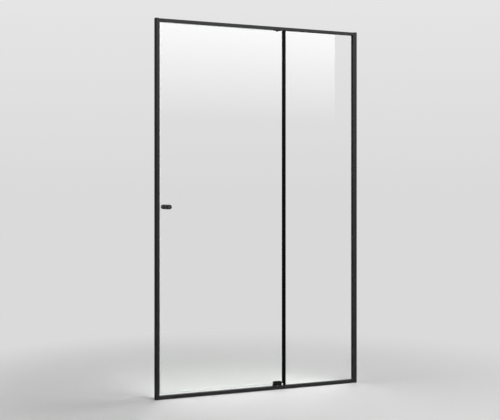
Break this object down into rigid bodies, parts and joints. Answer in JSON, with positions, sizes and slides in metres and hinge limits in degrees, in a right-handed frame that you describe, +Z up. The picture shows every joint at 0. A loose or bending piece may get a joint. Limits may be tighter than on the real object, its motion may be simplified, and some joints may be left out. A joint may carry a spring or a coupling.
{
  "type": "shower door",
  "caption": "Framed pivot shower door for a niche: a wide clear leaf with a round knob swings beside a narrow fixed pane, between slim black wall jambs, head rail and sill.",
  "frame": {"origin": "middle of the sill's underside, in the plane of the glass", "axes": "+X along the doorway from the closing jamb to the glazing jamb, +Y into the shower, +Z up"},
  "size_m": [1.2, 0.116, 2],
  "materials": {
    "black_aluminium": "matte",
    "black_coated_metal": "satin",
    "stainless_steel": "satin",
    "clear_glass": "polished",
    "clear_pvc": "gloss",
    "black_pvc": "satin",
    "black_rubber": "matte",
    "magnet_strip": "matte",
    "natural_acetal": "satin",
    "black_plastic": "matte"
  },
  "bodies": {
    "frame": {"wall_channel_left": "black_aluminium", "wall_channel_right": "black_aluminium", "closing_jamb": "black_aluminium", "glazing_jamb": "black_aluminium", "jamb_cap_left": "black_plastic", "jamb_cap_right": "black_plastic", "jamb_screws_left": "stainless_steel", "jamb_screws_right": "stainless_steel", "jamb_screw_caps_left": "black_plastic", "jamb_screw_caps_right": "black_plastic", "corner_screws_left": "stainless_steel", "corner_screws_right": "stainless_steel", "head_rail": "black_aluminium", "sill_rail": "black_aluminium", "head_filler": "black_aluminium", "sill_filler": "black_aluminium", "top_bracket": "black_coated_metal", "bottom_bracket": "black_coated_metal", "top_bracket_screws": "stainless_steel", "bottom_bracket_screws": "stainless_steel", "mullion_screws": "stainless_steel", "mullion": "black_aluminium", "fixed_glass": "clear_glass", "gaskets_front": "black_rubber", "gaskets_rear": "black_rubber", "setting_blocks": "black_rubber", "magnet_carrier": "black_pvc", "jamb_magnet": "magnet_strip", "top_bush": "natural_acetal", "bottom_pin": "stainless_steel", "thrust_washer": "natural_acetal"},
    "door": {"door_glass": "clear_glass", "closing_seal": "clear_pvc", "door_magnet": "magnet_strip", "hinge_seal": "black_pvc", "drip_seal": "clear_pvc", "top_shoe": "black_coated_metal", "top_shoe_pad": "black_rubber", "bottom_shoe": "black_coated_metal", "bottom_shoe_pad": "black_rubber", "bottom_bush": "natural_acetal", "shoe_grub_screws": "stainless_steel", "inner_knob": "black_coated_metal", "outer_knob": "black_coated_metal", "knob_washers": "clear_pvc", "knob_sleeve": "clear_pvc", "knob_stud": "stainless_steel"}
  },
  "joints": [
    {"name": "door_swing", "type": "hinge", "parent": "frame", "child": "door", "pos_m": [0.104, 0, 0.999], "axis": [0, 0, 1], "range_deg": [0, 100]}
  ]
}
